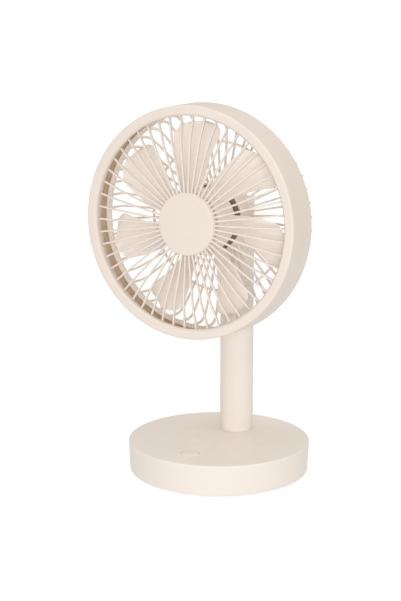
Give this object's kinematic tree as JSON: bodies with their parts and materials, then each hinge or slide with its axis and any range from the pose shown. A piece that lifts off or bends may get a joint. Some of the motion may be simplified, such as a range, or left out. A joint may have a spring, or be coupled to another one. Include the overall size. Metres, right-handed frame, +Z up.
{
  "type": "desk fan",
  "caption": "Small desk fan: a round drum head with straight-ribbed guards tilts on a slim post that swings on a flat round base with a power button.",
  "frame": {"origin": "middle of the base's footprint, on the surface it stands on", "axes": "+Z up; the fan blows towards -Y; +X is the fan's left side seen from behind it, to the right seen from the front"},
  "size_m": [0.2146, 0.1754, 0.354],
  "materials": {
    "cream_shell": "fine satin moulding",
    "cream_guard": "satin moulding",
    "cream_impeller": "satin moulding",
    "badge": "smooth, slightly glossy",
    "grey_plastic": "satin",
    "white_plastic": "self-lubricating, satin",
    "dark_plastic": "matte",
    "steel": "plain turned or pressed steel",
    "copper": "enamelled wire",
    "board": "solder mask",
    "rubber": "matte",
    "cell_wrap": "shrink film",
    "magnet": "sintered"
  },
  "bodies": {
    "base": {"base_shell": "cream_shell", "base_plate": "cream_shell", "base_screw_1": "steel", "base_screw_2": "steel", "base_screw_3": "steel", "base_screw_4": "steel", "rubber_foot_1": "rubber", "rubber_foot_2": "rubber", "rubber_foot_3": "rubber", "rubber_foot_4": "rubber", "swivel_bush": "white_plastic", "counterweight": "steel", "battery_cell_front": "cell_wrap", "battery_cell_rear": "cell_wrap", "main_board": "board", "control_chip": "dark_plastic", "power_inductor": "grey_plastic", "port_board": "board", "usb_c_port": "steel", "button_board": "board", "button_switch": "dark_plastic", "button_spring": "steel", "swivel_motor": "steel"},
    "post": {"post_tube": "cream_shell", "post_fork": "cream_shell", "post_foot": "grey_plastic", "retaining_ring": "steel", "swivel_gear": "white_plastic"},
    "head": {"front_shell": "cream_shell", "front_grille": "cream_guard", "hub_cap": "badge", "rear_grille": "cream_guard", "motor_bracket": "grey_plastic", "motor_screw_1": "steel", "motor_screw_2": "steel", "motor_screw_3": "steel", "stator_core": "steel", "winding_front": "copper", "winding_rear": "copper", "front_bearing": "steel", "rear_bearing": "steel", "motor_board": "board", "rear_cover": "cream_shell", "tilt_pin": "steel", "friction_washer_left": "white_plastic", "friction_washer_right": "white_plastic"},
    "impeller": {"impeller": "cream_impeller", "rotor_bell": "steel", "rotor_magnet": "magnet", "motor_shaft": "steel", "shaft_clip": "steel", "impeller_nut": "cream_impeller"},
    "pinion": {"drive_pinion": "white_plastic", "drive_shaft": "steel"},
    "button": {"power_button": "cream_shell"}
  },
  "joints": [
    {"name": "post_swivel", "type": "hinge", "parent": "base", "child": "post", "pos_m": [0, 0.0373, 0.0298], "axis": [0, 0, 1], "range_deg": [-45, 45]},
    {"name": "head_tilt", "type": "hinge", "parent": "post", "child": "head", "pos_m": [0, 0.0373, 0.2467], "axis": [-1, 0, 0], "range_deg": [-10, 25]},
    {"name": "impeller_spin", "type": "hinge", "parent": "head", "child": "impeller", "pos_m": [0, -0.065, 0.2467], "axis": [0, 1, 0], "continuous": true},
    {"name": "button_press", "type": "slide", "parent": "base", "child": "button", "axis": [0, 0, -1], "range_m": [0, 0.0008], "stiffness_N_per_m": 1500, "springref_m": -0.0005, "deforming": ["button_spring"]},
    {"name": "pinion_spin", "type": "hinge", "parent": "base", "child": "pinion", "pos_m": [-0.0321, 0.0373, 0.02], "axis": [0, 0, 1], "range_deg": [-136, 136]}
  ],
  "couplings": [
    {"joint": "pinion_spin", "follows": "post_swivel", "ratio": -3}
  ]
}
